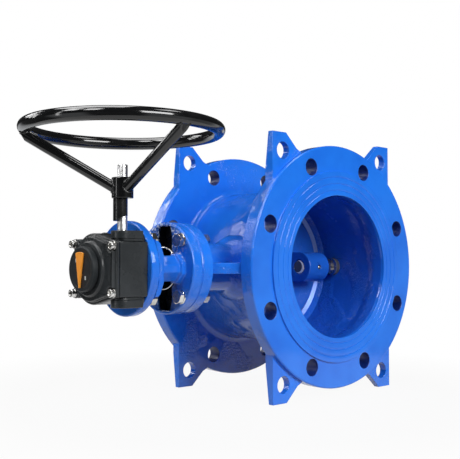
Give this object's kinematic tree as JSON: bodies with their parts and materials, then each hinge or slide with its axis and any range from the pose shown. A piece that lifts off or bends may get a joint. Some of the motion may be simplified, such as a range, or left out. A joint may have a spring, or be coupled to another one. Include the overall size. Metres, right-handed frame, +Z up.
{
  "type": "double eccentric flanged butterfly valve with worm gearbox and handwheel",
  "caption": "Double-flanged eccentric butterfly valve: offset disc on a split shaft, cast body with lifting and standing ears, bracket, worm gearbox and tubular handwheel.",
  "frame": {"origin": "centre of the front flange's bolt circle, on its bolting face behind the raised face", "axes": "+Z up, +Y along the pipe from the front flange to the rear flange, gearbox on the -X side"},
  "size_m": [0.6175, 0.288, 0.36],
  "materials": {
    "blue_coating": "glossy fusion bonded epoxy on ductile iron",
    "seat_steel": "turned stainless steel",
    "bush_black": "black bearing polymer",
    "bolt_steel": "stainless fasteners",
    "turned_steel": "turned stainless steel",
    "seal_rubber": "black moulded rubber",
    "gearbox_paint": "satin black paint on cast iron",
    "cap_plastic": "moulded dark grey plastic",
    "pointer_orange": "orange plastic",
    "bright_shaft": "polished bright steel",
    "wheel_paint": "high gloss black powder coat on steel tube",
    "sleeve_black": "satin black"
  },
  "bodies": {
    "valve_body": {"body_casting": "blue_coating", "seat_ring": "seat_steel", "drive_bush": "bush_black", "end_bush": "bush_black", "end_cover": "blue_coating", "end_cover_bolts": "bolt_steel", "gland_sleeve": "turned_steel", "neck_gasket": "seal_rubber", "bracket": "blue_coating", "neck_bolts": "bolt_steel", "neck_nuts": "bolt_steel", "gearbox_bolts": "bolt_steel", "gearbox_housing": "gearbox_paint", "top_bearing_cap": "gearbox_paint", "bottom_bearing_cap": "gearbox_paint", "gearbox_cover": "gearbox_paint", "cover_screws": "bolt_steel"},
    "stem": {"disc": "blue_coating", "disc_seal": "seal_rubber", "seal_retainer": "seat_steel", "retainer_screws": "bolt_steel", "drive_shaft": "turned_steel", "stub_shaft": "turned_steel", "taper_pins": "turned_steel", "indicator_cap": "cap_plastic", "pointer": "pointer_orange"},
    "handwheel": {"input_shaft": "bright_shaft", "wheel_hub": "wheel_paint", "hub_sleeve": "sleeve_black", "hub_pin": "turned_steel", "spoke_front": "wheel_paint", "spoke_left": "wheel_paint", "spoke_right": "wheel_paint", "wheel_rim": "wheel_paint"}
  },
  "joints": [
    {"name": "handwheel_turn", "type": "hinge", "parent": "valve_body", "child": "handwheel", "pos_m": [-0.3245, 0.062, 0], "axis": [0, 0, 1], "range_deg": [0, 2340]},
    {"name": "disc_turn", "type": "hinge", "parent": "valve_body", "child": "stem", "pos_m": [0, 0.1, -0.0015], "axis": [1, 0, 0], "range_deg": [0, 90]}
  ],
  "couplings": [
    {"joint": "disc_turn", "follows": "handwheel_turn", "ratio": 0.038462}
  ]
}
